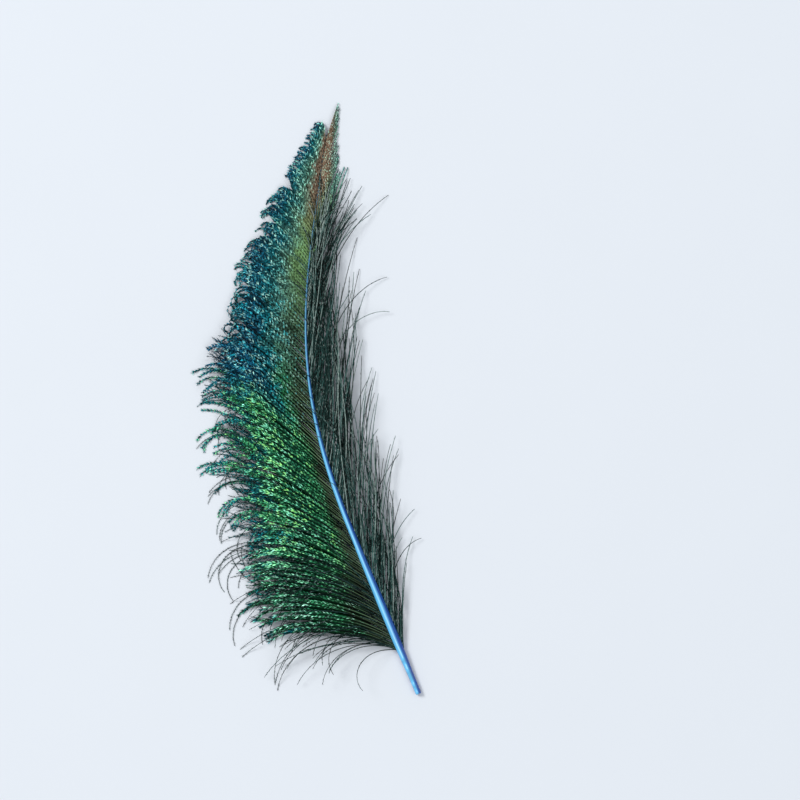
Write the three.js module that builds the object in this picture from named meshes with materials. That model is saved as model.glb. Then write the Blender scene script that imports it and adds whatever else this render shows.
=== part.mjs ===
// A peacock sword feather, dyed, lying face up on a flat surface. Millimetres, +Z up.
// The cut end of the quill points to -Y and the tip to +Y. The shaft leans left and then straightens.
// The dense outer vane is on its -X side, and the loose inner vane on its +X side.

import * as THREE from 'three';

const { lerp, smoothstep, degToRad } = THREE.MathUtils;

// ---- Driving dimensions ------------------------------------------------------------------------

const SHAFT_LENGTH = 290; // along the curve, from the cut end to the tip
const SHAFT_SEAT = 0.85; // height of the shaft's centre over the surface, in radii; below that it is flat
const SHAFT_SIDES = 12;
const SHAFT_STEPS = 58;
// The shaft's radius as [station, radius]. Stations are distances along the shaft from its cut end.
// The quill is thickest where the vanes begin, and narrows to its cut end.
const SHAFT_RADIUS = [
  [0, 1.4], [12, 1.55], [28, 2.1], [45, 2.1], [80, 1.65], [120, 1.4], [170, 0.85], [230, 0.5], [290, 0.28],
];

const HEADING_AT_QUILL = 22.5; // degrees to the left of +Y
const HEADING_AT_TIP = -8;
const BEND_START = 75; // stations along the shaft, between which the heading turns
const BEND_END = 255;

const BARE_QUILL = 24; // no barbs grow below this station
const SEAM = 0.3; // between the shaft and the root of a vane

// Each vane is given by stations too. Lengths are those of the barbs, angles those between the shaft
// and the barb's root, and turns how far it bends away from the shaft by its tip, in degrees. Notches
// are cut between two locks, as a share of the barb.
const OUTER = {
  side: 1,
  locks: 46,
  length: [[24, 63], [34, 74], [60, 73], [90, 70], [118, 73], [136, 76], [160, 65], [185, 49], [220, 35], [290, 11]],
  angle: [[24, 38], [45, 33], [70, 29], [100, 27], [130, 30], [170, 37], [200, 45], [250, 38], [290, 14]],
  turn: [[24, 50], [60, 30], [100, 14], [130, 10], [200, 14], [250, 18], [290, 8]],
  notch: [[24, 0.22], [60, 0.28], [136, 0.3], [185, 0.2], [290, 0.2]],
  crest: 6.5, // how far the middle of the longest barbs arches over a straight line
  rootThickness: 0.9,
  tipThickness: 0.45,
};
const INNER = {
  side: -1,
  locks: 28,
  length: [[24, 60], [60, 90], [120, 102], [180, 90], [215, 64], [238, 36], [265, 27], [290, 22]],
  angle: [[24, 24], [60, 27], [120, 27], [200, 18], [240, 14], [290, 9]],
  turn: [[24, -8], [150, -6], [240, 0.5], [290, 1]],
  web: [[24, 4], [215, 5], [240, 24], [290, 17]], // length of barb that neighbours share
  crest: 4.5,
  rootThickness: 0.8,
  tipThickness: 0.45,
};

const NOTCH_POWER = 1.6; // over 1: the ends of the locks are round
const LOCK_COLUMNS = 4;
const BARB_ROWS = 6;
const LOCK_GATHER = 0.35; // how far a lock's barbs close up by its end
const LENGTH_SWING = 0.06; // longer and shorter locks follow each other
const SWING_STEP = 2.4; // radians from one lock to the next

const SPIKE_ROOT = 0.66; // width of a loose inner lock where it leaves the web, as a share of its pitch
const SPIKE_TIP = 0.12;
const SPIKE_ROWS = 6;

// ---- The shaft's centre line -------------------------------------------------------------------

// A value between the stations of a list.
function along(stations, station) {
  const next = stations.findIndex(([place]) => place >= station);
  if (next === -1) return stations.at(-1)[1];
  if (next === 0) return stations[0][1];
  const [[from, low], [to, high]] = [stations[next - 1], stations[next]];
  return lerp(low, high, (station - from) / (to - from));
}

function heading(station) {
  return degToRad(lerp(HEADING_AT_QUILL, HEADING_AT_TIP, smoothstep(station, BEND_START, BEND_END)));
}

// The direction of a heading, which is an angle to the left of +Y.
const course = (angle) => new THREE.Vector2(-Math.sin(angle), Math.cos(angle));

// The centre line is walked once, a millimetre at a time.
const centreLine = [new THREE.Vector2(0, 0)];
for (let station = 0; station < SHAFT_LENGTH; station++) {
  centreLine.push(centreLine[station].clone().add(course(heading(station + 0.5))));
}

function shaftPoint(station) {
  const step = Math.min(Math.floor(station), SHAFT_LENGTH - 1);
  return centreLine[step].clone().lerp(centreLine[step + 1], station - step);
}

const shaftRadius = (station) => along(SHAFT_RADIUS, station);

// ---- Barbs -------------------------------------------------------------------------------------

// Each barb is an arc in plan. It leaves the shaft at its root, and reach runs from 0 to 1.
function barbPoint(vane, station, reach) {
  const outward = course(heading(station) + (vane.side * Math.PI) / 2);
  const root = shaftPoint(station).addScaledVector(outward, shaftRadius(station) + SEAM);
  const start = heading(station) + vane.side * degToRad(along(vane.angle, station));
  const turn = vane.side * degToRad(along(vane.turn, station)) || 1e-6;
  const end = start + turn * reach;
  const radius = along(vane.length, station) / turn;
  const chord = new THREE.Vector2(Math.cos(end) - Math.cos(start), Math.sin(end) - Math.sin(start));
  return root.addScaledVector(chord, radius);
}

// Height of the vane's middle: it springs from the shaft, arches over, and comes down to the surface.
function barbHeight(vane, station, reach) {
  const longest = Math.max(...vane.length.map(([, length]) => length));
  const arch = vane.crest * 4 * reach * (1 - reach) * (along(vane.length, station) / longest);
  return lerp(shaftRadius(station) * SHAFT_SEAT + 0.15, vane.tipThickness / 2, reach) + arch;
}

// Bends a flat plate onto a vane. The plate holds a station and a reach for each of its points.
function bendOnto(vane, geometry, flatPoint) {
  const position = geometry.getAttribute('position');
  for (let i = 0; i < position.count; i++) {
    const { station, reach, upper } = flatPoint(position, i);
    const plan = barbPoint(vane, station, reach);
    const half = lerp(vane.rootThickness, vane.tipThickness, Math.min(reach * 2, 1)) / 2;
    const height = barbHeight(vane, station, reach) + (upper ? half : -half);
    position.setXYZ(i, plan.x, plan.y, Math.max(height, 0));
  }
  geometry.computeVertexNormals();
  return geometry;
}

// ---- The three pieces --------------------------------------------------------------------------

// The quill and rachis: a tapering round rod, flat where it lies on the surface.
function shaftGeometry() {
  const rod = new THREE.CylinderGeometry(1, 1, 1, SHAFT_SIDES, SHAFT_STEPS);
  const position = rod.getAttribute('position');
  for (let i = 0; i < position.count; i++) {
    const station = (position.getY(i) + 0.5) * SHAFT_LENGTH;
    const radius = shaftRadius(station);
    const right = course(heading(station) - Math.PI / 2);
    const plan = shaftPoint(station).addScaledVector(right, position.getX(i) * radius);
    position.setXYZ(i, plan.x, plan.y, Math.max(radius * (SHAFT_SEAT + position.getZ(i)), 0));
  }
  rod.computeVertexNormals();
  return rod;
}

// The dense vane: one plate whose outer edge is cut into round-ended locks.
function outerVaneGeometry() {
  const columns = OUTER.locks * LOCK_COLUMNS;
  const plate = new THREE.BoxGeometry(1, 1, 1, columns, BARB_ROWS, 1);
  return bendOnto(OUTER, plate, (position, i) => {
    const column = (position.getX(i) + 0.5) * OUTER.locks;
    const lock = Math.min(Math.floor(column + 1e-6), OUTER.locks - 1);
    const offset = column - lock - 0.5; // from the middle of its lock, -0.5 to 0.5
    const middle = lerp(BARE_QUILL, SHAFT_LENGTH, (lock + 0.5) / OUTER.locks);
    const notch = along(OUTER.notch, middle) * Math.abs(offset * 2) ** NOTCH_POWER;
    const onLock = 1 - Math.abs(offset * 2) ** 4; // neighbours meet in the notch
    const swing = LENGTH_SWING * Math.sin(lock * SWING_STEP) * onLock;
    const row = position.getY(i) + 0.5;
    const gather = 1 - LOCK_GATHER * row ** 3 * onLock;
    const station = lerp(BARE_QUILL, SHAFT_LENGTH, (lock + 0.5 + offset * gather) / OUTER.locks);
    return { station, reach: row * (1 - notch + swing), upper: position.getZ(i) > 0 };
  });
}

// The loose vane: a comb of long tapering locks on a narrow web, which widens beside the tip. Its
// outline runs up the shaft and back down along the locks.
function innerVaneGeometry() {
  const pitch = (SHAFT_LENGTH - BARE_QUILL) / INNER.locks;
  const outline = [];
  const mark = (station, reach) => {
    outline.push({ plan: barbPoint(INNER, station, reach), station, reach });
  };
  for (let lock = 0; lock <= INNER.locks; lock++) mark(BARE_QUILL + lock * pitch, 0);
  for (let lock = INNER.locks - 1; lock >= 0; lock--) {
    const middle = BARE_QUILL + (lock + 0.5) * pitch;
    const web = along(INNER.web, middle) / along(INNER.length, middle);
    const tip = 1 - LENGTH_SWING * (1 + Math.sin(lock * SWING_STEP));
    const edge = (side, row) => {
      const half = (pitch / 2) * lerp(SPIKE_ROOT, SPIKE_TIP, row / SPIKE_ROWS);
      mark(middle + side * half, lerp(web, tip, row / SPIKE_ROWS));
    };
    for (let row = 0; row <= SPIKE_ROWS; row++) edge(1, row);
    for (let row = SPIKE_ROWS; row >= 0; row--) edge(-1, row);
  }
  const comb = new THREE.Shape(outline.map(({ plan }) => plan));
  const plate = new THREE.ExtrudeGeometry(comb, { depth: 1, bevelEnabled: false });
  return bendOnto(INNER, plate, (position, i) => {
    const corner = new THREE.Vector2(position.getX(i), position.getY(i));
    const { station, reach } = outline.find(({ plan }) => plan.distanceTo(corner) < 1e-3);
    return { station, reach, upper: position.getZ(i) > 0.5 };
  });
}

// ---- Assembly ----------------------------------------------------------------------------------

function piece(name, geometry, color, roughness, metalness) {
  const mesh = new THREE.Mesh(geometry, new THREE.MeshStandardMaterial({ color, roughness, metalness }));
  mesh.name = name;
  return mesh;
}

const feather = new THREE.Group();
feather.add(
  piece('shaft', shaftGeometry(), '#2f86e0', 0.35, 0),
  piece('outer_vane', outerVaneGeometry(), '#1c6658', 0.45, 0.4),
  piece('inner_vane', innerVaneGeometry(), '#2f4a3c', 0.55, 0.2),
);

// The origin is under the middle of the feather, on the surface that it lies on.
const middle = new THREE.Box3().setFromObject(feather).getCenter(new THREE.Vector3());
feather.position.set(-middle.x, -middle.y, 0);

export default feather;
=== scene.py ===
"""A dyed peacock sword feather lying face up: shaft, dense outer vane, loose inner vane and stage."""

import math
from typing import Callable, NamedTuple

import bmesh
import bpy
import numpy as np
from bpy.props import FloatProperty, FloatVectorProperty, IntProperty, PointerProperty
from mathutils import Matrix, Vector


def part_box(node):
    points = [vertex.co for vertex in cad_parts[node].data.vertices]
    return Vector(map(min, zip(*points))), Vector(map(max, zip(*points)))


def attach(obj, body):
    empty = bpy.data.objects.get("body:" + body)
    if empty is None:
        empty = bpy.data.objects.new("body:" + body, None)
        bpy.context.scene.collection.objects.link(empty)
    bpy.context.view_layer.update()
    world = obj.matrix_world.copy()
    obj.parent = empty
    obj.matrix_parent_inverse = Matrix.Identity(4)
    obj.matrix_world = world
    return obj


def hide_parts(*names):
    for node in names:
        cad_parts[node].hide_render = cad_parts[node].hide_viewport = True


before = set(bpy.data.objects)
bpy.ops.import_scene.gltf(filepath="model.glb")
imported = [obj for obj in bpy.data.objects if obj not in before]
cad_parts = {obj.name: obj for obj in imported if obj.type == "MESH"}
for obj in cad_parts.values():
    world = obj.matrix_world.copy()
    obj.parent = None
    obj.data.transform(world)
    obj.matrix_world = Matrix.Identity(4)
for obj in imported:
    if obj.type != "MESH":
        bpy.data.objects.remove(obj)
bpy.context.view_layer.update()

bl_info = {
    "name": "Peacock Sword Feather",
    "version": (1, 0, 0),
    "blender": (4, 5, 0),
    "location": "View3D > Sidebar > Feather",
    "description": "Grows a dyed peacock sword feather barb by barb around its packed frame",
    "category": "Object",
}

BODY = "root"
MM = 0.001

# ---- The feather's layout, in millimetres, as the frame was built ------------------------------

SHAFT_LENGTH = 290
SHAFT_SEAT = 0.85  # height of the shaft's centre over the surface, in radii
SHAFT_RADIUS = (
    (0, 1.4), (12, 1.55), (28, 2.1), (45, 2.1), (80, 1.65), (120, 1.4), (170, 0.85), (230, 0.5), (290, 0.28),
)
HEADING_AT_QUILL = 22.5  # degrees to the left of +Y
HEADING_AT_TIP = -8
BEND_START = 75
BEND_END = 255
BARE_QUILL = 24

# Stations along the shaft, each with a value. Lengths are those of the barbs, angles those between
# the shaft and a barb's root, and turns how far a barb bends away from the shaft by its tip.
OUTER = {
    "side": 1,
    "length": (
        (24, 63), (34, 74), (60, 73), (90, 70), (118, 73), (136, 76), (160, 65), (185, 49), (220, 35),
        (290, 11),
    ),
    "angle": ((24, 38), (45, 33), (70, 29), (100, 27), (130, 30), (170, 37), (200, 45), (250, 38), (290, 14)),
    "turn": ((24, 50), (60, 30), (100, 14), (130, 10), (200, 14), (250, 18), (290, 8)),
    "crest": 6.5,
}
INNER = {
    "side": -1,
    "length": ((24, 60), (60, 90), (120, 102), (180, 90), (215, 64), (238, 36), (265, 27), (290, 22)),
    "angle": ((24, 24), (60, 27), (120, 27), (200, 18), (240, 14), (290, 9)),
    "turn": ((24, -8), (150, -6), (240, 0.5), (290, 1)),
    "crest": 4.5,
}
TIP_HEIGHT = 0.22  # middle of a barb's tip over the surface
ROOT_RISE = 0.15  # a barb springs from this far over the shaft's centre
ROOT_DEPTH = 0.8  # where it springs from, as a share of the shaft's radius

# ---- How the barbs grow, in millimetres and as shares ------------------------------------------

# The share of the outer barbs that is dense. Beyond it, in the lower vane, they are loose.
DENSE = (
    (24, 0.94), (34, 0.94), (60, 0.86), (90, 0.72), (118, 0.68), (136, 0.77), (160, 0.87), (185, 0.98),
    (220, 1.0),
)
# How far the other barbs of the outer vane reach, as shares of a whole barb.
EDGE_REACH = ((38, 1.0), (60, 1.1), (110, 1.08), (130, 0.98), (156, 0.9))
PLUME_REACH = ((60, 1.04), (75, 1.14), (118, 1.12), (135, 0.98), (152, 0.92))
STRAY_REACH = ((32, 1.2), (60, 1.28), (90, 1.14), (120, 1.04))

FINE_STEP = 0.25  # between the stations at which the spread of the barbs is measured
LEAST_SPREAD = 0.6  # where barbs fan together, they are still counted as this far apart
BASE_SPREAD = 0.4  # how much further apart they stand at the base
LEAST_SPACE = 0.3  # the narrowest space that a barb fills

TUFT_START = 0.6  # how far back along its tuft a barbule springs, so that a tuft ends together
BARBULE_SEAT = 0.12  # root of a barbule over the middle of its barb
LOWEST_TIP = 0.06  # tip of a barbule over the surface
SHADOWED = 0.4  # the part of a tuft that the tuft before it shades
BARBULE_BOW = 0.08  # how far the middle of a barbule bows up from a straight line


def linear(hex_code):
    """An sRGB hex colour as linear red, green, blue and alpha."""
    channels = [int(hex_code[i : i + 2], 16) / 255 for i in (1, 3, 5)]
    return [c / 12.92 if c <= 0.04045 else ((c + 0.055) / 1.055) ** 2.4 for c in channels] + [1.0]


# ---- Sizes and colours that a user can change --------------------------------------------------


class FeatherShaftSettings(bpy.types.PropertyGroup):
    """The size and colour of the shaft"""

    quill_radius: FloatProperty(
        name="Quill radius", description="Radius of the quill where it is thickest",
        default=2.1 * MM, unit="LENGTH", precision=5,
    )
    dye: FloatVectorProperty(
        name="Dye", description="Colour of the dyed keratin where light falls on it",
        default=linear("#6ac6f6")[:3], subtype="COLOR", size=3,
    )


class FeatherVaneSettings(bpy.types.PropertyGroup):
    """The sizes of the barbs and barbules"""

    barb_pitch: FloatProperty(
        name="Barb pitch", description="Distance between two outer barbs, measured across them",
        default=1.5 * MM, unit="LENGTH", precision=5,
    )
    barb_width: FloatProperty(
        name="Barb width", description="Greatest width of an outer barb, where its neighbours are far",
        default=1.8 * MM, unit="LENGTH", precision=5,
    )
    barbule_spacing: FloatProperty(
        name="Barbule spacing", description="Distance between two barbules along a barb",
        default=0.35 * MM, unit="LENGTH", precision=5,
    )
    barbule_length: FloatProperty(
        name="Barbule length", description="Length of a barbule in the middle of the vane",
        default=2.3 * MM, unit="LENGTH", precision=5,
    )
    loose_spacing: FloatProperty(
        name="Loose barb spacing", description="Distance between two inner barbs along the shaft",
        default=0.8 * MM, unit="LENGTH", precision=5,
    )
    seed: IntProperty(name="Seed", description="Chooses how the barbs stray and clump", default=7)


class FeatherStageSettings(bpy.types.PropertyGroup):
    """The floor, the light and the camera"""

    floor: FloatVectorProperty(
        name="Floor", description="Colour of the plain surface under the feather",
        default=linear("#e4e9ef")[:3], subtype="COLOR", size=3,
    )
    view_width: FloatProperty(
        name="View width", description="Width of floor that the camera sees",
        default=0.4, unit="LENGTH",
    )
    camera_height: FloatProperty(
        name="Camera height", description="Height of the camera over the floor",
        default=1.6, unit="LENGTH",
    )
    key_power: FloatProperty(
        name="Key power", description="Power of the main soft light, in watts", default=178.0,
    )


# ---- The shaft's curve and the barbs' paths ----------------------------------------------------


def value(stations, station):
    """A value between the stations of a list, for one station or an array of them."""
    places, values = zip(*stations)
    return np.interp(station, places, values)


def ease(x):
    """From 0 to 1 with no slope at either end."""
    x = np.clip(x, 0, 1)
    return x * x * (3 - 2 * x)


def rising(x, start, end):
    """From 0 at the start to 1 at the end, which may lie before it."""
    return ease((np.asarray(x, float) - start) / (end - start))


def mix(low, high, share):
    """From low, where the share is 0, to high, where it is 1."""
    return low + (high - low) * share


def at_base(station):
    """1 where the vanes begin, and 0 from a third of the way up."""
    return rising(station, 90, 35)


def in_upper_vane(station):
    """1 where the outer barbs are dense and curled, and 0 where they are long and loose."""
    return rising(station, 125, 175)


def heading(station):
    """The shaft's heading in radians to the left of +Y."""
    return np.radians(mix(HEADING_AT_QUILL, HEADING_AT_TIP, rising(station, BEND_START, BEND_END)))


def course(angle):
    """The plan direction of a heading."""
    return np.stack([-np.sin(angle), np.cos(angle)], axis=-1)


CENTRE_LINE = np.vstack([[0, 0], np.cumsum(course(heading(np.arange(SHAFT_LENGTH) + 0.5)), axis=0)])


def shaft_point(station):
    """The shaft's centre in plan, in millimetres from the middle of the cut end."""
    steps = np.arange(SHAFT_LENGTH + 1)
    return np.stack([np.interp(station, steps, CENTRE_LINE[:, axis]) for axis in (0, 1)], axis=-1)


def shaft_radius(station):
    """The shaft's radius in millimetres."""
    thickest = max(radius for _, radius in SHAFT_RADIUS)
    return value(SHAFT_RADIUS, station) * bpy.context.scene.feather_shaft.quill_radius / MM / thickest


def cut_end():
    """Where the frame holds the middle of the quill's cut end, in millimetres."""
    low, high = (np.array(corner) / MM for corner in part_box("shaft"))
    start, radius = heading(0), shaft_radius(0)
    return np.array([high[0] - radius * math.cos(start), low[1] + radius * math.sin(start)])


def barb_paths(vane, station, rows, length=1.0, swing=0.0, curl=0.0, curl_from=0.8, lift=0.0):
    """Barbs from these stations on the shaft, as an array of barbs by rows by x, y, z, in mm.

    length scales each barb, swing is added to its angle, and curl to its turn near the tip, both in
    degrees. lift raises the middle of the barb.
    """
    station = np.asarray(station, float)
    length, swing, curl, lift = (
        np.broadcast_to(np.asarray(given, float), station.shape)[:, None]
        for given in (length, swing, curl, lift)
    )
    at = station[:, None]
    reach = np.linspace(0, 1, rows)[None]
    middle = (reach[:, 1:] + reach[:, :-1]) / 2
    own_length = value(vane["length"], at) * length
    curled = curl * np.clip((middle - curl_from) / (1 - curl_from), 0, 1) ** 1.5
    bend = value(vane["angle"], at) + swing + value(vane["turn"], at) * middle + curled
    steps = course(heading(at) + vane["side"] * np.radians(bend)) * (own_length / (rows - 1))[..., None]
    outward = course(heading(station) + vane["side"] * math.pi / 2)
    root = shaft_point(station) + outward * (ROOT_DEPTH * shaft_radius(station))[:, None]
    plan = root[:, None] + np.concatenate([np.zeros_like(steps[:, :1]), np.cumsum(steps, 1)], 1)
    # Short barbs follow the same arched surface as whole ones, and end part of the way along it.
    longest = max(most for _, most in vane["length"])
    out = np.minimum(reach * length, 1)
    arch = (vane["crest"] * value(vane["length"], at) / longest + lift) * 4 * out * (1 - out)
    height = mix(shaft_radius(at) * SHAFT_SEAT + ROOT_RISE, TIP_HEIGHT, out) + arch
    return np.concatenate([plan, height[..., None]], axis=-1)


def barb_stations(vane, first, last, pitch, rng, stray=0.12):
    """Stations of barbs that stand a pitch apart, measured across the middle of the vane.

    At the base they stand further apart.
    """
    fine = np.arange(first, last, FINE_STEP)
    before, middle, after = np.moveaxis(barb_paths(vane, fine, 9)[:, 4:7, :2], 1, 0)
    along = unit(after - before)
    apart = np.gradient(middle, FINE_STEP, axis=0)
    spread = np.abs(along[:, 0] * apart[:, 1] - along[:, 1] * apart[:, 0])
    spread = np.maximum(spread, LEAST_SPREAD) / (1 + BASE_SPREAD * at_base(fine))
    across = np.cumsum(spread) * FINE_STEP / pitch
    count = int(across[-1])
    return np.interp(np.arange(count) + 0.5 + rng.uniform(-stray, stray, count), across, fine)


def space_between(paths):
    """How far each barb is from its neighbours, row by row."""
    tangent = unit(np.gradient(paths[..., :2], axis=1))
    apart = np.gradient(paths[..., :2], axis=0)
    return np.abs(tangent[..., 0] * apart[..., 1] - tangent[..., 1] * apart[..., 0])


def gather(paths, lock, pull, power=2.0):
    """Draws the barbs of each lock together towards their tips, each by its own pull."""
    reach = np.linspace(0, 1, paths.shape[1])[None, :, None]
    count = np.bincount(lock)
    flat = paths.reshape(len(paths), -1)
    total = np.stack([np.bincount(lock, column) for column in flat.T], axis=1)
    middle = (total / np.maximum(count, 1)[:, None])[lock].reshape(paths.shape)
    return paths + (middle - paths) * np.reshape(pull, (-1, 1, 1)) * reach**power


def unit(vectors):
    """The same directions, one long."""
    return vectors / np.maximum(np.linalg.norm(vectors, axis=-1, keepdims=True), 1e-9)


def frames(paths, roll=0.0):
    """Tangents, sideways and upward directions along paths, turned by roll radians."""
    tangent = unit(np.gradient(paths, axis=1))
    side = unit(np.cross([0.0, 0.0, 1.0], tangent))
    up = np.cross(tangent, side)
    roll = np.asarray(roll, float)[..., None]
    return tangent, side * np.cos(roll) + up * np.sin(roll), up * np.cos(roll) - side * np.sin(roll)


# ---- Meshes from arrays ------------------------------------------------------------------------


def joined_mesh(name, points, faces, barb_map, shades, smooth):
    """One object from arrays: points in mm from the cut end, faces with equal numbers of corners.

    barb_map holds each point's share of the way along the shaft and out along its barb. shades are
    further values of each point, by name, which the materials read.
    """
    mesh = bpy.data.meshes.new(name)
    placed = points.copy()
    placed[:, :2] += cut_end()
    mesh.vertices.add(len(placed))
    mesh.vertices.foreach_set("co", (placed * MM).astype(np.float32).ravel())
    mesh.loops.add(faces.size)
    mesh.loops.foreach_set("vertex_index", faces.astype(np.int32).ravel())
    mesh.polygons.add(len(faces))
    mesh.polygons.foreach_set("loop_start", np.arange(0, faces.size, faces.shape[1], dtype=np.int32))
    mesh.update(calc_edges=True)
    mesh.validate()
    layer = mesh.uv_layers.new(name="barb_map")
    layer.uv.foreach_set("vector", barb_map[faces.ravel()].astype(np.float32).ravel())
    for shade, values in shades.items():
        attribute = mesh.attributes.new(shade, "FLOAT", "POINT")
        attribute.data.foreach_set("value", values.astype(np.float32))
    mesh.polygons.foreach_set("use_smooth", np.full(len(faces), smooth))
    piece = bpy.data.objects.new(name, mesh)
    bpy.context.collection.objects.link(piece)
    return piece


# A barb's section has four corners. Each gives how far it is up its ridge, which the materials paint lit at
# the top and in shade below, and how far the top and the bottom are from the middle, in half thicknesses.
RIDGE = (0.25, 1.0, 0.25, 0.0)
CROWN = 1.4
KEEL = 0.6


def barb_tubes(name, paths, width, thickness, station, tone, roll=0.0, span=(0, 1)):
    """Barbs as closed four-sided tubes with a ridge along the top.

    span is the part of a whole barb that the paths show, for the materials.
    """
    barbs, rows, _ = paths.shape
    _, side, up = frames(paths, roll)
    width = np.broadcast_to(width, (barbs, rows))[..., None] / 2
    thickness = np.broadcast_to(thickness, (barbs, rows))[..., None] / 2
    ring = [side * width, up * thickness * CROWN, -side * width, -up * thickness * KEEL]
    points = np.stack([paths + corner for corner in ring], axis=2)
    index = np.arange(points[..., 0].size).reshape(barbs, rows, 4)
    sides = [
        np.stack(
            [
                index[:, :-1, corner],
                index[:, :-1, (corner + 1) % 4],
                index[:, 1:, (corner + 1) % 4],
                index[:, 1:, corner],
            ],
            axis=-1,
        ).reshape(-1, 4)
        for corner in range(4)
    ]
    faces = np.concatenate(sides + [index[:, 0, ::-1], index[:, -1]])
    reach = np.linspace(*span, rows)
    barb_map = np.empty((barbs, rows, 4, 2))
    barb_map[..., 0] = (np.asarray(station) / SHAFT_LENGTH)[:, None, None]
    barb_map[..., 1] = reach[None, :, None]
    shades = {
        "ridge": np.broadcast_to(RIDGE, (barbs, rows, 4)).ravel(),
        "tone": np.broadcast_to(np.asarray(tone)[:, None, None], (barbs, rows, 4)).ravel(),
    }
    return joined_mesh(name, points.reshape(-1, 3), faces, barb_map.reshape(-1, 2), shades, True)


# A barbule's corners are its root, one side, its ridge, the other side and its tip.
BLADE_FACES = np.array([[0, 2, 1], [0, 3, 2], [0, 1, 3], [1, 2, 4], [2, 3, 4], [3, 1, 4]])
# How far each corner is up the ridge: the materials paint the root in shade and the ridge lit.
BLADE_RIDGE = np.array([0.15, 0.7, 1.0, 0.7, 0.8])
BLADE_CORNERS = len(BLADE_RIDGE)
WIDEST = 0.45  # where a barbule is widest, as a share of its length


def blades(name, root, tip, up, width, station, reach, tone):
    """Barbules as closed blades, each with a pointed root and tip and a ridge on top."""
    along = tip - root
    side = unit(np.cross(up, along))
    lifted = unit(np.cross(along, side))
    middle = root + along * WIDEST + lifted * BARBULE_BOW
    half = np.asarray(width)[:, None] / 2
    ridge = middle + lifted * half * 0.5
    points = np.stack([root, middle + side * half, ridge, middle - side * half, tip], axis=1)
    faces = (np.arange(len(root)) * BLADE_CORNERS)[:, None, None] + BLADE_FACES[None]
    place = np.stack([np.asarray(station) / SHAFT_LENGTH, reach], axis=-1)
    barb_map = np.repeat(place, BLADE_CORNERS, axis=0)
    shades = {"ridge": np.tile(BLADE_RIDGE, len(root)), "tone": np.repeat(tone, BLADE_CORNERS)}
    return joined_mesh(name, points.reshape(-1, 3), faces.reshape(-1, 3), barb_map, shades, False)


def on_paths(grid, length, barb, distance):
    """Samples an array of barbs by rows by x, y, z at distances along the barbs."""
    rows = grid.shape[1]
    step = np.clip(distance / length[barb], 0, 0.9999) * (rows - 1)
    low = step.astype(int)
    share = (step - low)[:, None]
    return grid[barb, low] * (1 - share) + grid[barb, low + 1] * share


class Look(NamedTuple):
    """How barbules look where they grow: each value is one number, or an array with one for each."""

    size: float  # length in millimetres
    angle: float  # to the barb, in degrees
    width: float  # in millimetres
    rolls: float  # how far their tuft may roll around the barb, in degrees
    rises: float  # how far it may rise, in degrees
    contrast: float  # how much the tufts differ in tone
    cast: float = 0.0  # how much brighter they all are


def grow_barbules(name, paths, station, tone, rng, spacing, tuft, look, span=(0, 1)):
    """Barbules on both sides of barbs, in tufts that each lie at a slant of their own.

    look takes the reach and the station of each barbule, and gives its Look.
    """
    tangent, side, up = frames(paths)
    length = np.linalg.norm(np.diff(paths, axis=1), axis=2).sum(1)
    tufts = int(length.max() / tuft) + 2
    parts = []
    for hand in (1, -1):
        count = np.maximum((length / spacing).astype(int), 1)
        barb = np.repeat(np.arange(len(paths)), count)
        number = np.arange(len(barb)) - np.repeat(np.cumsum(count) - count, count)
        distance = (number + rng.uniform(0.1, 0.9, len(barb))) * spacing
        phase = rng.random(len(paths))[barb]
        place = distance / tuft + phase
        inside = place - np.floor(place)
        tuft_luck = rng.random((len(paths) * tufts, 4))[barb * tufts + np.floor(place).astype(int)]
        luck = rng.random((len(barb), 3))
        reach = span[0] + (span[1] - span[0]) * distance / length[barb]
        looks = Look(*(np.broadcast_to(part, reach.shape) for part in look(reach, station[barb])))
        # A tuft's barbules spring from its first part and end together, like a brush.
        start = np.clip(distance - TUFT_START * inside * tuft, 0, None)
        t, s, u = (unit(on_paths(grid, length, barb, start)) for grid in (tangent, side, up))
        roll = np.radians(looks.rolls * (tuft_luck[:, 0] * 2 - 1))[:, None]
        s, u = s * np.cos(roll) + u * np.sin(roll), u * np.cos(roll) - s * np.sin(roll)
        opening = 0.5 + 0.5 * tuft_luck[:, 1] + 0.8 * (luck[:, 0] - 0.3)
        opened = np.radians(looks.angle * opening)[:, None]
        rise = np.radians(looks.rises * (0.3 + tuft_luck[:, 2]))[:, None]
        out = t * np.cos(opened) + (s * hand * np.cos(rise) + u * np.sin(rise)) * np.sin(opened)
        root = on_paths(paths, length, barb, start) + u * BARBULE_SEAT
        tip = root + out * (looks.size * (0.75 + 0.5 * luck[:, 1]))[:, None]
        tip[:, 2] = np.maximum(tip[:, 2], LOWEST_TIP)
        # Tone, which the materials paint as light and shade, comes from the tuft, then from the barb, the
        # barbule and the side that it grows on.
        lit = tuft_luck[:, 3] + 0.35 * (tone[barb] - 0.5) + 0.3 * (luck[:, 2] - 0.5)
        lit = lit + (0.0 if hand > 0 else 0.12)
        # Painted shadow: the root of each tuft is darkened, as it lies in the shadow of the one before.
        lit = lit - 0.5 * rising(inside, SHADOWED, 0)
        shade = np.clip(0.5 + looks.contrast * (lit - 0.5) + looks.cast, 0, 1)
        parts.append((root, tip, u, looks.width, station[barb], reach, shade))
    return blades(name, *(np.concatenate(column) for column in zip(*parts)))


# ---- Materials ---------------------------------------------------------------------------------


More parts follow.
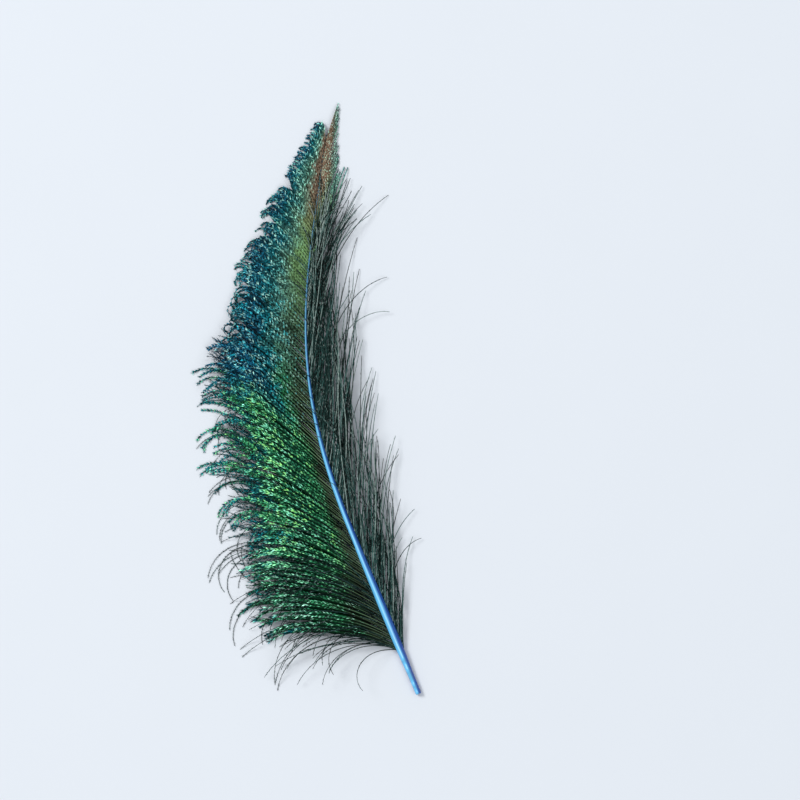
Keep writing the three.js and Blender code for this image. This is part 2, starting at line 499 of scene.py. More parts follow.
def add(material, kind, inputs=None, stops=None, **settings):
    """Adds a node with its settings. Each input is a value, a socket, or a node's first output in use."""
    tree = material.node_tree
    made = tree.nodes.new(kind)
    for key, setting in settings.items():
        setattr(made, key, setting)
    for key, given in (inputs or {}).items():
        if isinstance(given, bpy.types.Node):
            given = next(socket for socket in given.outputs if socket.enabled)
        if isinstance(given, bpy.types.NodeSocket):
            tree.links.new(given, made.inputs[key])
        else:
            made.inputs[key].default_value = given
    for number, (place, tint) in enumerate(stops or ()):
        stop = made.color_ramp.elements[number] if number < 2 else made.color_ramp.elements.new(place)
        stop.position = place
        if isinstance(tint, (int, float)):
            tint = (tint, tint, tint, 1)
        stop.color = linear(tint) if isinstance(tint, str) else tint
    return made


def new_material(name):
    """A material without nodes."""
    material = bpy.data.materials.new(name)
    material.use_nodes = True
    material.node_tree.nodes.clear()
    return material


def surfaced(material, inputs):
    """The material with a shader on its surface, which takes these inputs."""
    shader = add(material, "ShaderNodeBsdfPrincipled", inputs)
    add(material, "ShaderNodeOutputMaterial", {"Surface": shader})
    return material


def mapped(material, uv_map):
    """A place on a piece's own map: how far up the shaft, and how far out along a barb or around it."""
    place = add(material, "ShaderNodeUVMap", uv_map=uv_map)
    split = add(material, "ShaderNodeSeparateXYZ", {"Vector": place})
    return split.outputs["X"], split.outputs["Y"]


def shades(material):
    """The tone of a barb or barbule, which the materials paint as light and shade, and how close to its ridge
    it is.
    """
    return [
        add(material, "ShaderNodeAttribute", attribute_name=name).outputs["Fac"]
        for name in ("tone", "ridge")
    ]


# The hues that the barbules mirror, and those of their painted highlights.
SOOT = "#1b2c22"
HORN = "#46644a"
MOSS = "#4f7a66"
OLIVE = "#90be7c"
COPPER = "#987e68"
SAGE = "#74ac96"
GRASS = "#46ae74"
LIME = "#94e07a"
MINT = "#7fd2ae"
MIST = "#94bdae"
JADE = "#3a9a74"
TEAL = "#1a929c"
BLUE = "#1c88a6"
NAVY = "#186a8c"
BARE_HORN = "#7c9a74"  # the barbs' own ridge, where no barbule covers it

# Places up the vane, as shares of the shaft. Each has the two hues of its painted highlights on the brightest
# tufts, and then the hues of the rest from the shaft out to the tips.
ZONES = (
    (0.1, MINT, MIST, ((0.0, SOOT), (0.25, HORN), (0.45, GRASS), (0.75, JADE), (0.86, GRASS), (0.98, TEAL))),
    (0.27, LIME, MINT, ((0.0, SOOT), (0.14, HORN), (0.3, GRASS), (0.6, JADE), (0.86, GRASS), (0.98, TEAL))),
    (0.43, LIME, MINT, ((0.0, SOOT), (0.14, HORN), (0.3, GRASS), (0.5, JADE), (0.84, GRASS), (0.96, TEAL))),
    (0.49, MIST, TEAL, ((0.0, SOOT), (0.16, HORN), (0.34, GRASS), (0.46, TEAL), (0.7, NAVY), (1.0, NAVY))),
    (0.62, MIST, TEAL, ((0.0, HORN), (0.18, MOSS), (0.36, SAGE), (0.52, TEAL), (0.72, NAVY), (1.0, TEAL))),
    (0.78, MIST, SAGE, ((0.0, OLIVE), (0.22, OLIVE), (0.4, SAGE), (0.62, TEAL), (0.8, NAVY), (1.0, TEAL))),
    (0.9, MIST, SAGE, ((0.0, COPPER), (0.25, COPPER), (0.42, SAGE), (0.72, TEAL), (0.85, NAVY), (1.0, BLUE))),
)


def zoned_colour(material, up, out):
    """The vane's hue by place, and that of the painted highlights on its brightest tufts."""
    spot = add(material, "ShaderNodeTexCoord").outputs["Object"]
    # Patches about 8 mm across, which make the colour borders wander.
    patches = add(material, "ShaderNodeTexNoise", {"Vector": spot, "Scale": 1 / (8 * MM), "Detail": 2.0})
    strayed = add(
        material, "ShaderNodeMapRange",
        {"Value": patches, "From Min": 0.3, "From Max": 0.7, "To Min": -0.09, "To Max": 0.09},
    )
    reach = add(material, "ShaderNodeMath", {0: out, 1: strayed}, operation="ADD")
    # Patches about a tuft across, which turn the painted highlights of bright tufts from one hue to the
    # other.
    tufts = add(material, "ShaderNodeTexNoise", {"Vector": spot, "Scale": 1 / (3 * MM), "Detail": 1.0})
    other = add(material, "ShaderNodeMapRange", {"Value": tufts, "From Min": 0.4, "From Max": 0.6})
    below, colours = 0.0, None
    for share_up, bright, cool, stops in ZONES:
        ramp = add(material, "ShaderNodeValToRGB", {"Fac": reach}, stops=stops)
        share = add(
            material, "ShaderNodeMapRange", {"Value": up, "From Min": below, "From Max": share_up},
            interpolation_type="SMOOTHSTEP",
        )
        below = share_up
        pair = {"Factor": other, "A": linear(bright), "B": linear(cool)}
        shown = (ramp, add(material, "ShaderNodeMix", pair, data_type="RGBA"))
        if colours is None:
            colours = shown
            continue
        colours = [
            add(material, "ShaderNodeMix", {"Factor": share, "A": lower, "B": upper}, data_type="RGBA")
            for lower, upper in zip(colours, shown)
        ]
    return colours


def barbule_material():
    """Iridescent barbules: stacked melanin rods that mirror one hue each over a near-black core. Their tone
    paints them lit or in shade, the brightest tufts carry painted highlights, and their edges are painted in
    shade.
    """
    material = new_material("iridescent_barbules")
    hue, glint = zoned_colour(material, *mapped(material, "barb_map"))
    tone, ridge = shades(material)
    # Painted highlight: the few tufts of highest tone stand for those at the slant that mirrors the light.
    # They are painted far brighter and yellower, in the glint hues.
    turned = add(
        material, "ShaderNodeMapRange", {"Value": tone, "From Min": 0.62, "From Max": 0.95, "To Max": 0.85},
    )
    colour = add(material, "ShaderNodeMix", {"Factor": turned, "A": hue, "B": glint}, data_type="RGBA")
    # Painted light and shade: the tone sets how brightly each tuft is painted, from deep shade to more than
    # twice its hue.
    stops = ((0.05, 0.16), (0.35, 0.78), (0.65, 1.4), (1.0, 2.3))
    bright = add(material, "ShaderNodeValToRGB", {"Fac": tone}, stops=stops)
    lit = add(material, "ShaderNodeHueSaturation", {"Value": bright, "Color": colour})
    # Painted shade: the edges, which lie in shadow, are painted in the hue, deepened.
    dark = add(material, "ShaderNodeHueSaturation", {"Saturation": 1.25, "Value": 0.12, "Color": hue})
    edged = add(material, "ShaderNodeMix", {"Factor": ridge, "A": dark, "B": lit}, data_type="RGBA")
    return surfaced(
        material, {"Base Color": edged, "Metallic": 0.5, "Roughness": 0.42, "Specular IOR Level": 0.1},
    )


def barb_material():
    """Barb cortex in the zone hue, painted near-black as shade on its sides and between barbs. A pale ridge
    draws a thin line along each barb: bare horn beside the shaft, and further out the hue painted lit by the
    barb's tone.
    """
    material = new_material("dark_barb_cortex")
    up, out = mapped(material, "barb_map")
    hue, _ = zoned_colour(material, up, out)
    tone, ridge = shades(material)
    line = add(material, "ShaderNodeMapRange", {"Value": ridge, "From Min": 0.72, "From Max": 0.98})
    # The ridge is bare beside the shaft. Further out, barbules cover it, so little of its line shows over the
    # painted shade.
    bare = add(
        material, "ShaderNodeMapRange",
        {"Value": out, "From Min": 0.04, "From Max": 0.4, "To Min": 1.0, "To Max": 0.1},
    )
    seen = add(material, "ShaderNodeMath", {0: line, 1: bare}, operation="MULTIPLY")
    bright = add(material, "ShaderNodeMapRange", {"Value": tone, "To Min": 0.05, "To Max": 1.9})
    # Beside the upper shaft the barbules are so short and even that no painted shade shows between barbs.
    upper = add(material, "ShaderNodeMapRange", {"Value": up, "From Min": 0.62, "From Max": 0.78})
    lower = add(material, "ShaderNodeMath", {0: 1.0, 1: upper}, operation="SUBTRACT")
    horny, closed = (
        add(material, "ShaderNodeMath", {0: bare, 1: part}, operation="MULTIPLY") for part in (lower, upper)
    )
    pair = {"Factor": horny, "A": hue, "B": linear(BARE_HORN)}
    pale = add(material, "ShaderNodeMix", pair, data_type="RGBA")
    lit = add(material, "ShaderNodeHueSaturation", {"Value": bright, "Color": pale})
    # Painted shade: the hue darkened nearly to black, for the sides of the barbs and the valleys between
    # them.
    painted_shade = add(material, "ShaderNodeHueSaturation", {"Saturation": 1.3, "Value": 0.07, "Color": hue})
    valley = add(material, "ShaderNodeMix", {"Factor": closed, "A": painted_shade, "B": hue}, data_type="RGBA")
    lined = add(material, "ShaderNodeMix", {"Factor": seen, "A": valley, "B": lit}, data_type="RGBA")
    return surfaced(
        material, {"Base Color": lined, "Metallic": 0.2, "Roughness": 0.5, "Specular IOR Level": 0.15},
    )


def loose_barb_material():
    """Loose barbs: dark horn with short barbules pressed to it. Where their tone is high they carry
    grey-green painted highlights, and below the ridge they are painted in near-black shade.
    """
    material = new_material("loose_dark_barbs")
    tone, ridge = shades(material)
    colour = add(
        material, "ShaderNodeValToRGB", {"Fac": tone},
        stops=((0.0, "#05110e"), (0.42, "#10302c"), (0.72, "#4c7c76"), (1.0, "#c2d6ce")),
    )
    # Painted shade: below the ridge each barb is painted near-black.
    pair = {"Factor": ridge, "A": linear("#0a100e"), "B": colour}
    lined = add(material, "ShaderNodeMix", pair, data_type="RGBA")
    return surfaced(
        material, {"Base Color": lined, "Metallic": 0.25, "Roughness": 0.45, "Specular IOR Level": 0.2},
    )


def shaft_material():
    """Dyed keratin: clear glossy horn, dyed blue and fading up the shaft. Its upper side, turned to the key
    light, is painted lit, and the rest is painted in darker shade.
    """
    material = new_material("dyed_keratin")
    dye = list(bpy.context.scene.feather_shaft.dye) + [1.0]
    up, around = mapped(material, "shaft_map")
    # Fibres a twentieth of the way around the shaft, and about 20 mm long.
    place = add(material, "ShaderNodeUVMap", uv_map="shaft_map")
    stretched = add(material, "ShaderNodeMapping", {"Vector": place, "Scale": (14, 20, 1)})
    fibres = add(material, "ShaderNodeTexNoise", {"Vector": stretched, "Scale": 1.0, "Detail": 3.0})
    # Painted light: a band along the upper side of the shaft, turned to the key light, is painted in the lit
    # dye colour.
    painted_lit_band = add(
        material, "ShaderNodeValToRGB", {"Fac": around},
        stops=((0.5, 0), (0.69, 0.1), (0.78, 1), (0.91, 1), (0.98, 0.1)),
    )
    strayed = add(
        material, "ShaderNodeMapRange",
        {"Value": fibres, "From Min": 0.3, "From Max": 0.7, "To Min": -0.2, "To Max": 0.2},
    )
    # The share of painted light on the shaft, with its border broken up by the fibres.
    thin = add(material, "ShaderNodeMath", {0: painted_lit_band, 1: strayed}, operation="ADD", use_clamp=True)
    lit_dye = add(
        material, "ShaderNodeValToRGB", {"Fac": up},
        stops=((0.0, dye), (0.45, dye), (0.75, "#62a8cf"), (1.0, "#7f9488")),
    )
    # Painted shade: the darker dye colour for the sides that are turned away from the light.
    painted_shade = add(
        material, "ShaderNodeValToRGB", {"Fac": up},
        stops=((0.0, "#0d3c9c"), (0.5, "#0f3f92"), (0.8, "#22598a"), (1.0, "#4a5a50")),
    )
    colour = add(material, "ShaderNodeMix", {"Factor": thin, "A": painted_shade, "B": lit_dye}, data_type="RGBA")
    return surfaced(
        material, {"Base Color": colour, "Roughness": 0.38, "Coat Weight": 0.25, "Coat Roughness": 0.3},
    )


def pith_material():
    """Cut pith: a dry matt foam inside the quill, paler than its wall."""
    material = new_material("cut_pith")
    spot = add(material, "ShaderNodeTexCoord").outputs["Object"]
    cells = add(material, "ShaderNodeTexVoronoi", {"Vector": spot, "Scale": 1 / (0.3 * MM)})
    stops = ((0.0, "#8fb6dc"), (0.7, "#3f78b8"))
    colour = add(material, "ShaderNodeValToRGB", {"Fac": cells}, stops=stops)
    return surfaced(material, {"Base Color": colour, "Roughness": 0.9})


def floor_material():
    """Matt white card, with the faintest mottle."""
    material = new_material("matt_card")
    tint = list(bpy.context.scene.feather_stage.floor) + [1.0]
    spot = add(material, "ShaderNodeTexCoord").outputs["Object"]
    mottle = add(material, "ShaderNodeTexNoise", {"Vector": spot, "Scale": 1 / (60 * MM), "Detail": 2.0})
    shaded = [channel * 0.985 for channel in tint[:3]] + [1.0]
    colour = add(material, "ShaderNodeMix", {"Factor": mottle, "A": tint, "B": shaded}, data_type="RGBA")
    return surfaced(material, {"Base Color": colour, "Roughness": 0.95})


# ---- Operators ---------------------------------------------------------------------------------


FINISHES = {
    "iridescent_barbules": barbule_material,
    "dark_barb_cortex": barb_material,
    "loose_dark_barbs": loose_barb_material,
    "dyed_keratin": shaft_material,
    "cut_pith": pith_material,
}


def finish_piece(piece, slot, replaced, *finishes):
    """Puts its materials on a piece, each made the first time, and ties it to the frame."""
    for finish in finishes:
        piece.data.materials.append(bpy.data.materials.get(finish) or FINISHES[finish]())
    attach(piece, BODY)
    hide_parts(replaced)


class Kind(NamedTuple):
    """A kind of loose barb and its barbules. Pairs of sizes are those at the root and at the tip."""

    slot: str
    replaced: str
    barbs: str
    barbules: str
    width: tuple
    thickness: tuple
    spacing: float  # from one barbule to the next
    tuft: float  # the length of barb that a tuft of barbules springs from
    look: Callable  # takes the reach and the station of each barbule, and gives its Look
    barb_finish: str = "loose_dark_barbs"
    barbule_finish: str = "loose_dark_barbs"
    barb_span: tuple = (0, 1)  # the part of a whole barb that gives its colours
    barbule_span: tuple = (0, 1)
    roll: float = 0.0


EDGE = Kind(
    "outer_barbs", "outer_vane", "edge_barbs", "edge_barbules",
    width=(0.44, 0.2), thickness=(0.3, 0.14), spacing=1.0, tuft=1.6,
    look=lambda reach, at: Look(
        size=mix(1.7, 1.1, reach), angle=24, width=0.25, rolls=60, rises=16, contrast=0.7, cast=-0.26,
    ),
    barb_finish="dark_barb_cortex", barbule_finish="iridescent_barbules",
    barb_span=(0.97, 1), barbule_span=(0.98, 1),
)
PLUME = Kind(
    "outer_barbs", "outer_vane", "plume_barbs", "plume_barbules",
    width=(0.45, 0.25), thickness=(0.3, 0.16), spacing=0.32, tuft=1.7,
    look=lambda reach, at: Look(
        size=mix(2.5, 1.5, reach), angle=31, width=0.34, rolls=22, rises=16, contrast=0.9, cast=-0.1,
    ),
    barb_finish="dark_barb_cortex", barbule_finish="iridescent_barbules",
    barb_span=(0.6, 1), barbule_span=(0.84, 1),
)
HAIR = Kind(
    "outer_barbs", "outer_vane", "base_hairs", "base_hair_barbules",
    width=(0.5, 0.2), thickness=(0.34, 0.14), spacing=1.2, tuft=1.9,
    look=lambda reach, at: Look(
        size=mix(0.3, 1.2, rising(reach, 0.35, 0.55)), angle=14, width=0.2, rolls=80, rises=16, contrast=0.9,
    ),
)
STRAY = Kind(
    "outer_barbs", "outer_vane", "stray_barbs", "stray_barbules",
    width=(0.36, 0.2), thickness=(0.28, 0.16), spacing=0.9, tuft=1.5,
    look=lambda reach, at: Look(
        size=mix(1.2, 0.7, reach), angle=26, width=0.22, rolls=60, rises=16, contrast=0.9,
    ),
)
LOOSE = Kind(
    "inner_barbs", "inner_vane", "loose_barbs", "loose_barbules",
    width=(0.64, 0.24), thickness=(0.34, 0.14), spacing=1.8, tuft=2.4,
    look=lambda reach, at: Look(
        size=mix(1.7, 1.0, reach), angle=13, width=mix(0.24, 0.14, reach), rolls=90, rises=16, contrast=0.9,
    ),
)
TIP_WEB = Kind(
    "inner_barbs", "inner_vane", "tip_web_barbs", "tip_web_barbules",
    width=(0.9, 0.4), thickness=(0.3, 0.15), spacing=0.4, tuft=1.4,
    look=lambda reach, at: Look(
        size=1.0, angle=16, width=0.22, rolls=14, rises=12, contrast=0.9, cast=-0.04,
    ),
    barb_finish="dark_barb_cortex", barbule_finish="iridescent_barbules",
    barb_span=(0, 0.5), barbule_span=(0, 0.5), roll=0.3,
)


def grow_kind(kind, paths, station, tone, rng):
    """The barbs of a kind as one piece, and their barbules as another."""
    along = np.linspace(0, 1, paths.shape[1])[None]
    width, thickness = (mix(*ends, along) for ends in (kind.width, kind.thickness))
    barbs = barb_tubes(kind.barbs, paths, width, thickness, station, tone, kind.roll, kind.barb_span)
    finish_piece(barbs, kind.slot, kind.replaced, kind.barb_finish)
    barbules = grow_barbules(
        kind.barbules, paths, station, tone, rng, kind.spacing, kind.tuft, kind.look, kind.barbule_span,
    )
    finish_piece(barbules, kind.slot, kind.replaced, kind.barbule_finish)


class FEATHER_OT_grow_shaft(bpy.types.Operator):
    """Grows the quill and shaft from the cut end to the tip"""

    bl_idname = "feather.grow_shaft"
    bl_label = "Grow Shaft"

    SIDES = 20
    RINGS = 144
    FIRST_RINGS = (1.5, 4)  # stations close to the cut end, which keep its edge crisp
    NARROWED = 0.18  # the rachis is this much narrower than it is deep
    WALL = 0.3 * MM  # of the quill, at its cut end
    PITH_EDGE = 0.12 * MM
    PITH_DEPTH = 0.7 * MM

    def section_matrix(self, station):
        """Where the unit section stands at a station of the shaft."""
        radius = float(shaft_radius(station))
        x, y = (shaft_point(station) + cut_end()).tolist()
        squeeze = 1 - self.NARROWED * float(rising(station, 60, 180))
        place = Matrix.Translation(Vector((x, y, radius * SHAFT_SEAT)) * MM)
        turn = Matrix.Rotation(float(heading(station)), 4, "Z") @ Matrix.Rotation(math.pi / 2, 4, "X")
        return place @ turn @ Matrix.Diagonal((radius * MM * squeeze, radius * MM, radius * MM, 1))

    def execute(self, context):
        bm = bmesh.new()
        station_of = bm.verts.layers.float.new("station")
        angle_of = bm.verts.layers.float.new("angle")
        made = bmesh.ops.create_circle(bm, cap_ends=True, segments=self.SIDES, radius=1)
        for vert in made["verts"]:
            vert[angle_of] = math.atan2(vert.co.y, vert.co.x) / math.tau + 0.5
            vert.co.y = max(vert.co.y, -SHAFT_SEAT)
        last = self.section_matrix(0)
        bmesh.ops.transform(bm, matrix=last, verts=bm.verts[:])
        end = bm.faces[:][0]
        first, second = self.FIRST_RINGS
        for station in (first, *np.linspace(second, SHAFT_LENGTH, self.RINGS)):
            grown = bmesh.ops.extrude_face_region(bm, geom=[end])["geom"]
            ring = [part for part in grown if isinstance(part, bmesh.types.BMVert)]
            end = next(part for part in grown if isinstance(part, bmesh.types.BMFace))
            here = self.section_matrix(station)
            bmesh.ops.transform(bm, matrix=here @ last.inverted(), verts=ring)
            for vert in ring:
                vert[station_of] = station / SHAFT_LENGTH
            last = here
        bmesh.ops.recalc_face_normals(bm, faces=bm.faces[:])
        for face in bm.faces:
            face.smooth = True
        cut = min(bm.faces, key=lambda face: face.calc_center_median().y)
        wall = bmesh.ops.inset_individual(bm, faces=[cut], thickness=self.WALL, depth=0.0)
        pith = bmesh.ops.inset_individual(
            bm, faces=[cut], thickness=self.PITH_EDGE, depth=-self.PITH_DEPTH,
        )
        cut.material_index = 1
        for face in wall["faces"] + pith["faces"] + [cut]:
            face.smooth = False
        uv = bm.loops.layers.uv.new("shaft_map")
        for face in bm.faces:
            for loop in face.loops:
                loop[uv].uv = (loop.vert[station_of], loop.vert[angle_of])
        mesh = bpy.data.meshes.new("quill_and_shaft")
        bm.to_mesh(mesh)
        bm.free()
        piece = bpy.data.objects.new("quill_and_shaft", mesh)
        context.collection.objects.link(piece)
        finish_piece(piece, "shaft_keratin", "shaft", "dyed_keratin", "cut_pith")
        return {"FINISHED"}


class FEATHER_OT_grow_outer_vane(bpy.types.Operator):
    """Grows the dense outer vane: its barbs, gathered into curled locks, and their barbules"""

    bl_idname = "feather.grow_outer_vane"
    bl_label = "Grow Outer Vane"

    ROWS = 36  # points along a barb
    TUFT = 1.9
    LOCK_ENDS = 0.14  # the chance that a lock ends at a barb
    # The layer underneath has fewer barbs and barbules and lies lower. It is painted darker, as the shade
    # under the top layer.
    UNDER_PITCH = 1.5
    UNDER_SPACING = 1.8
    UNDER_LIFT = -0.7
    TONES = {"outer": 0.5, "under": 0.12}

    def barbule_look(self, reach, station):
        """Flat tufts along the barbs, and stiff brushes around their free ends."""
        full = bpy.context.scene.feather_vane.barbule_length / MM
        high = in_upper_vane(station)
        outer = rising(reach, 0.5, 0.8)
        free = rising(reach, 0.72, 0.92) * high
        # At the base of the feather the barbs are bare for longest.
        bare = 0.02 + 0.08 * rising(station, 80, 30)
        grown = ease((reach - bare) / 0.32)
        size = mix(0.14 + 0.61 * grown + 0.25 * outer, 0.5 + 0.45 * grown + 0.05 * outer, high)
        width = mix(0.14 + 0.12 * grown + 0.1 * outer, 0.18 + 0.08 * grown + 0.03 * outer, high)
        angle = 15 + 14 * high + 7 * rising(reach, 0.3, 0.7)
        rolls = 6 + 26 * rising(reach, 0.25, 0.6) + 20 * free
        # Tufts differ most on the fringe, and hardly at all beside the shaft near the tip.
        fringe = rising(reach, 0.6, 0.8) * (1 - high)
        even = rising(station, 180, 220) * rising(reach, 0.5, 0.2)
        contrast = 0.8 + 0.4 * rising(reach, 0.15, 0.4) * (1 - 0.4 * high) + 0.4 * fringe - 0.35 * even
        # In the lower vane the outer half is brightest, up to where the dense part ends.
        ended = rising(reach, 0.88, 0.98)
        cast = (0.23 * outer - 0.08 - 0.45 * ended) * (1 - high)
        rises = 4 + 14 * grown
        return Look(full * size * (1 - 0.45 * free), angle, width, rolls, rises, contrast, cast)

    def execute(self, context):
        vane = context.scene.feather_vane
        pitch = vane.barb_pitch / MM
        spacing = vane.barbule_spacing / MM
        self.grow_layer(vane, "outer", pitch, 0.0, spacing, 5)
        self.grow_layer(
            vane, "under", pitch * self.UNDER_PITCH, self.UNDER_LIFT, spacing * self.UNDER_SPACING, 3,
        )
        return {"FINISHED"}

    def grow_layer(self, vane, name, pitch, lift, spacing, pieces):
        """One layer of barbs and their barbules. The layer underneath is painted dark, as shade, and closes
        the gaps.
        """
        rng = np.random.default_rng(vane.seed + len(name))
        station = barb_stations(OUTER, BARE_QUILL, SHAFT_LENGTH - 0.5, pitch, rng)
        count = len(station)
        # Locks are a few barbs wide, and each has its own length, curl, lift and tone.
        lock = np.cumsum(rng.random(count) < self.LOCK_ENDS)
        longer, curlier, higher, brighter = rng.random((lock.max() + 1, 4))[lock].T
        high = in_upper_vane(station)
        tip = rising(station, 240, 280)
        ragged = rng.uniform(-0.08, 0.06, count) * (1 + rising(station, 80, 50))
        curl = mix(10 + 35 * curlier, (1 - 0.8 * tip) * (95 + 120 * curlier), high)
        curl = curl + rng.normal(0, 16, count)
        paths = barb_paths(
            OUTER, station, self.ROWS, length=value(DENSE, station) * (0.96 + 0.13 * longer + ragged),
            swing=rng.normal(0, 0.8, count), curl=curl, curl_from=0.78,
            lift=lift + 0.8 * higher + rng.uniform(-0.2, 0.3, count),
        )
        paths = gather(paths, lock, 0.12 + 0.33 * high * (1 - 0.6 * tip), power=4)
        tone = self.TONES[name] + 0.5 * (brighter - 0.5) + rng.normal(0, 0.16, count)
        tone = np.clip(tone, 0, 1)
        width, thickness, roll = self.sections(vane, paths, station, longer)
        barbs = barb_tubes(f"{name}_barbs", paths, width, thickness, station, tone, roll)
        finish_piece(barbs, "outer_barbs", "outer_vane", "dark_barb_cortex")
        for number, chosen in enumerate(np.array_split(np.arange(count), pieces), 1):
            barbules = grow_barbules(
                f"{name}_barbules_{number}", paths[chosen], station[chosen], tone[chosen], rng,
                spacing, self.TUFT, self.barbule_look,
            )
            finish_piece(barbules, "outer_barbs", "outer_vane", "iridescent_barbules")

    def sections(self, vane, paths, station, slant):
        """The barbs' widths, thicknesses and rolls. They widen to fill their space, then narrow."""
        reach = np.linspace(0, 1, self.ROWS)[None]
        high = in_upper_vane(station)[:, None]
        space = np.clip(space_between(paths), LEAST_SPACE, vane.barb_width / MM)
        root = 0.66 - 0.2 * at_base(station)[:, None]
        narrowed = np.clip((reach - 0.66 - 0.06 * high) / (0.34 - 0.2 * high), 0, 1)
        width = space * mix(root, 1.5, rising(reach, 0, 0.45)) * (1 - (0.8 - 0.14 * high) * narrowed)
        thickness = 0.2 + 0.32 * rising(reach, 0.55, 0) * (1 - 0.8 * high)
        roll = np.radians(14 + 30 * (slant[:, None] - 0.5) * reach**2)
        return width, thickness, roll


class FEATHER_OT_grow_loose_ends(bpy.types.Operator):
    """Grows what stands out of the outer vane: loose barbs, curled plumes, long hairs and strays"""

    bl_idname = "feather.grow_loose_ends"
    bl_label = "Grow Loose Ends"

    # Each kind has its own count of barbs, rows of points along them, and first rows that are left
    # out, because they lie inside the dense vane.

    def execute(self, context):
        rng = np.random.default_rng(context.scene.feather_vane.seed + 2)
        self.loose_barbs(rng)
        self.plumes(rng)
        self.hairs(rng)
        self.strays(rng)
        return {"FINISHED"}

    def loose_barbs(self, rng):
        """Dark barbs with few barbules, which carry on past the dense edge of the lower vane."""
        count, rows, inside = 380, 30, 19
        station = np.sort(rng.uniform(38, 156, count))
        lock = np.cumsum(rng.random(count) < 0.25)
        # The third draw of each lock isn't used.
        longer, curlier, _ = rng.random((lock.max() + 1, 3))[lock].T
        length = value(EDGE_REACH, station) * (0.76 + 0.16 * longer + rng.uniform(-0.06, 0.1, count))
        paths = barb_paths(
            OUTER, station, rows, length=length, swing=rng.normal(0, 3, count),
            curl=30 * (curlier - 0.3) + rng.normal(0, 24, count), curl_from=0.65,
            lift=rng.uniform(-2.4, -0.4, count),
        )
        paths = gather(paths, lock, rng.uniform(0, 0.4, count))[:, inside:]
        grow_kind(EDGE, paths, station, rng.uniform(0.0, 0.4, count), rng)

    def plumes(self, rng):
        """Barbs in threes that keep their barbules to the end and curl far out of the edge."""
        count, rows, inside = 42, 60, 36
        lock = np.arange(count) // 3
        longer, curlier, shifted = rng.random((lock.max() + 1, 3))[lock].T
        station = 60 + 92 * (lock + 0.4 * shifted) / (lock.max() + 1) + rng.uniform(-2.5, 2.5, count)
        length = value(PLUME_REACH, station) * (0.94 + 0.12 * longer + rng.uniform(-0.05, 0.03, count))
        paths = barb_paths(
            OUTER, station, rows, length=length, swing=6 * (shifted - 0.5) + rng.normal(0, 2, count),
            curl=40 + 80 * curlier + rng.normal(0, 18, count), curl_from=0.7,
            lift=rng.uniform(0.5, 2.0, count),
        )
        paths = gather(paths, lock, rng.uniform(0.1, 0.5, count))[:, inside:]
        grow_kind(PLUME, paths, station, rng.uniform(0.2, 0.7, count), rng)

    def hairs(self, rng):
        """Long bare barbs from the base, which droop towards the quill and beyond the edge."""
        count = 110
        station = np.sort(BARE_QUILL + 55 * rng.random(count) ** 1.3)
        paths = barb_paths(
            OUTER, station, 36, length=rng.uniform(0.5, 1.05, count), swing=rng.normal(9, 11, count),
            curl=rng.normal(22, 30, count), curl_from=0.15, lift=rng.uniform(-1.5, 2.0, count),
        )
        grow_kind(HAIR, paths, station, rng.uniform(0.0, 0.6, count), rng)

    def strays(self, rng):
        """Single thin barbs that curl out of the lower edge, bare but for short barbules."""
        count, rows, inside = 34, 72, 38
        station = 32 + 88 * (np.arange(count) + rng.random(count)) / count
        length = value(STRAY_REACH, station) * rng.uniform(0.9, 1.08, count)
        swing = rng.normal(2, 4, count)
        curl = rng.uniform(55, 150, count) * rng.choice((-1, 1), count, p=(0.35, 0.65))
        paths = barb_paths(
            OUTER, station, rows, length=length, swing=swing, curl=curl, curl_from=0.55,
            lift=rng.uniform(-1.0, 2.0, count),
        )
        grow_kind(STRAY, paths[:, inside:], station, rng.uniform(0.1, 0.6, count), rng)


class FEATHER_OT_grow_inner_vane(bpy.types.Operator):
    """Grows the loose barbs of the inner vane, and the short dense web beside the tip"""

    bl_idname = "feather.grow_inner_vane"
    bl_label = "Grow Inner Vane"

    WEB_START = 222  # station from which the web grows
    LOOSE_END = 236  # station up to which loose barbs grow
    WEB_PITCH = 2.2

    def execute(self, context):
        vane = context.scene.feather_vane
        rng = np.random.default_rng(vane.seed + 1)
        pitch = vane.loose_spacing / MM
        station = np.arange(BARE_QUILL, self.LOOSE_END, pitch)
        count = len(station)
        station = station + rng.uniform(-0.4, 0.4, count) * pitch
        astray = rng.random(count) < 0.3
        paths = barb_paths(
            INNER, station, 28, length=rng.uniform(0.6, 1.02, count),
            swing=rng.normal(-1, 3.2, count) - astray * rng.uniform(0, 11, count),
            curl=rng.normal(-4, 26 + 40 * astray, count), curl_from=0.25,
            lift=rng.uniform(-2.0, 1.5, count),
        )
        lock = np.cumsum(rng.random(count) < 0.16)
        paths = gather(paths, lock, rng.uniform(0, 0.75, count), power=1.1)
        grow_kind(LOOSE, paths, station, rng.random(count), rng)
        self.grow_web(rng)
        return {"FINISHED"}

    def grow_web(self, rng):
        """The dense web beside the tip, whose barbs lie almost along the shaft."""
        station = np.arange(self.WEB_START, SHAFT_LENGTH - 2, self.WEB_PITCH)
        count = len(station)
        length = rng.uniform(0.9, 1.0, count)
        paths = barb_paths(INNER, station, 24, length=length, swing=rng.normal(0, 0.5, count))
        grow_kind(TIP_WEB, paths, station, rng.uniform(0.3, 0.9, count), rng)


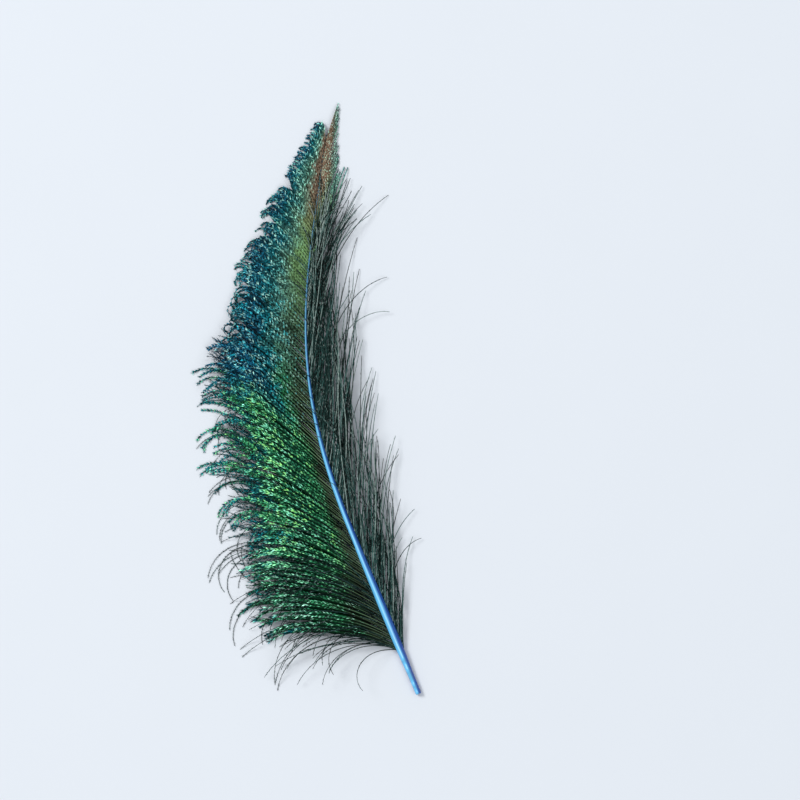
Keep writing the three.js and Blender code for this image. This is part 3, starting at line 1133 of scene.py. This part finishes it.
class FEATHER_OT_set_stage(bpy.types.Operator):
    """Sets the plain floor, the soft studio light and the camera that looks straight down"""

    bl_idname = "feather.set_stage"
    bl_label = "Set Stage"

    VIEW_MIDDLE = (-9.35, 146.8)  # in millimetres from the middle of the cut end
    FLOOR_HALF = 3.0  # half the floor's width, in metres
    FLOOR_DROP = 0.1 * MM  # keeps the floor clear of what lies on it
    LIGHTS = (("key", (-3.3, 1.95, 3.6), 1.8, 1.0), ("fill", (3.3, -1.95, 3.6), 3.0, 0.3))
    ROOM_LIGHT = 0.55

    def execute(self, context):
        stage = context.scene.feather_stage
        bm = bmesh.new()
        bmesh.ops.create_grid(bm, x_segments=1, y_segments=1, size=self.FLOOR_HALF)
        bmesh.ops.translate(bm, vec=(0, 0, -self.FLOOR_DROP), verts=bm.verts[:])
        mesh = bpy.data.meshes.new("floor")
        bm.to_mesh(mesh)
        bm.free()
        mesh.materials.append(floor_material())
        floor = bpy.data.objects.new("floor", mesh)
        context.collection.objects.link(floor)
        for name, place, size, share in self.LIGHTS:
            self.soft_light(context, name, place, size, stage.key_power * share)
        world = bpy.data.worlds.new("soft_room")
        world.use_nodes = True
        background = world.node_tree.nodes["Background"]
        background.inputs["Color"].default_value = linear("#f2f6fb")
        background.inputs["Strength"].default_value = self.ROOM_LIGHT
        context.scene.world = world
        context.scene.view_settings.view_transform = "Standard"
        lens = bpy.data.cameras.new("camera")
        lens.lens = lens.sensor_width * stage.camera_height / stage.view_width
        camera = bpy.data.objects.new("camera", lens)
        x, y = ((cut_end() + self.VIEW_MIDDLE) * MM).tolist()
        camera.location = (x, y, stage.camera_height)
        context.collection.objects.link(camera)
        context.scene.camera = camera
        return {"FINISHED"}

    def soft_light(self, context, name, place, size, power):
        """A square soft box that faces the feather."""
        data = bpy.data.lights.new(name, "AREA")
        data.size = size
        data.energy = power
        light = bpy.data.objects.new(name, data)
        light.location = place
        light.rotation_euler = (-Vector(place)).to_track_quat("-Z", "Y").to_euler()
        context.collection.objects.link(light)


class FEATHER_PT_panel(bpy.types.Panel):
    """Lists the feather's settings and its steps"""

    bl_label = "Peacock Sword Feather"
    bl_idname = "FEATHER_PT_panel"
    bl_space_type = "VIEW_3D"
    bl_region_type = "UI"
    bl_category = "Feather"

    def draw(self, context):
        layout = self.layout
        for group in GROUPS:
            settings = getattr(context.scene, group)
            box = layout.box()
            for name in settings.bl_rna.properties.keys():
                if name not in ("rna_type", "name"):
                    box.prop(settings, name)
        for step in STEPS:
            layout.operator(step.bl_idname)


GROUPS = {
    "feather_shaft": FeatherShaftSettings,
    "feather_vane": FeatherVaneSettings,
    "feather_stage": FeatherStageSettings,
}
STEPS = (
    FEATHER_OT_grow_shaft,
    FEATHER_OT_grow_outer_vane,
    FEATHER_OT_grow_loose_ends,
    FEATHER_OT_grow_inner_vane,
    FEATHER_OT_set_stage,
)


def register():
    """Registers the settings, the operators and the panel."""
    for group, settings in GROUPS.items():
        bpy.utils.register_class(settings)
        setattr(bpy.types.Scene, group, PointerProperty(type=settings))
    for made in (*STEPS, FEATHER_PT_panel):
        bpy.utils.register_class(made)


def unregister():
    """Removes them again, in the opposite order."""
    for made in (FEATHER_PT_panel, *reversed(STEPS)):
        bpy.utils.unregister_class(made)
    for group, settings in reversed(GROUPS.items()):
        delattr(bpy.types.Scene, group)
        bpy.utils.unregister_class(settings)


def main():
    """Grows the feather on its stage."""
    register()
    bpy.ops.feather.grow_shaft()
    bpy.ops.feather.grow_outer_vane()
    bpy.ops.feather.grow_loose_ends()
    bpy.ops.feather.grow_inner_vane()
    bpy.ops.feather.set_stage()


if __name__ == "__main__":
    main()
